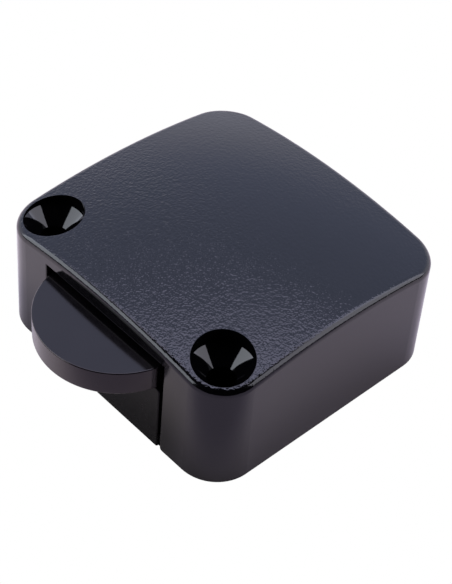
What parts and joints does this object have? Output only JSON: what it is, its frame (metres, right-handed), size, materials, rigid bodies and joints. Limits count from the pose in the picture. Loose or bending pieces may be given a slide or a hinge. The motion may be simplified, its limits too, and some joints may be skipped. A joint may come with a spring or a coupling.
{
  "type": "surface-mounted door light switch",
  "caption": "Surface-mounted plunger switch for an interior light: square crowned plastic housing, countersunk holes at the front corners, sprung half-moon plunger in the front wall.",
  "frame": {"origin": "centre of the square housing on its mounting face", "axes": "+Z away from the mounting face, through the crowned top; -Y out of the front wall, the way the plunger sticks out; +X to the right, seen from the front"},
  "size_m": [0.04, 0.0455, 0.0185],
  "materials": {
    "cover_plastic": "black ABS, fine spark-eroded grain, satin",
    "base_plastic": "black ABS, smooth satin",
    "plunger_plastic": "black acetal, smooth satin",
    "brass": "bare stamped and turned brass",
    "silver": "silver contact rivets",
    "spring_steel": "drawn stainless spring wire",
    "plated_steel": "bright zinc-plated steel"
  },
  "bodies": {
    "housing": {"cover_shell": "cover_plastic", "base_plate": "base_plastic", "return_spring_left": "spring_steel", "fixed_button_left": "silver", "fixed_contact_left": "brass", "strip_rivet_left": "brass", "terminal_block_left": "brass", "terminal_screw_left": "plated_steel", "cover_screw_left": "plated_steel", "return_spring_right": "spring_steel", "fixed_button_right": "silver", "fixed_contact_right": "brass", "strip_rivet_right": "brass", "terminal_block_right": "brass", "terminal_screw_right": "plated_steel", "cover_screw_right": "plated_steel"},
    "plunger": {"plunger": "plunger_plastic", "contact_spring": "spring_steel"},
    "bridge": {"contact_bridge": "brass", "bridge_button_left": "silver", "bridge_button_right": "silver"}
  },
  "joints": [
    {"name": "plunger_slide", "type": "slide", "parent": "housing", "child": "plunger", "axis": [0, 1, 0], "range_m": [0, 0.0065], "stiffness_N_per_m": 500, "springref_m": -0.003, "deforming": ["return_spring_left", "return_spring_right"]},
    {"name": "bridge_slide", "type": "slide", "parent": "plunger", "child": "bridge", "axis": [0, 1, 0], "range_m": [-0.001, 0], "deforming": ["contact_spring"]}
  ],
  "couplings": [
    {"joint": "bridge_slide", "follows": "plunger_slide", "ratio": -0.15385}
  ]
}
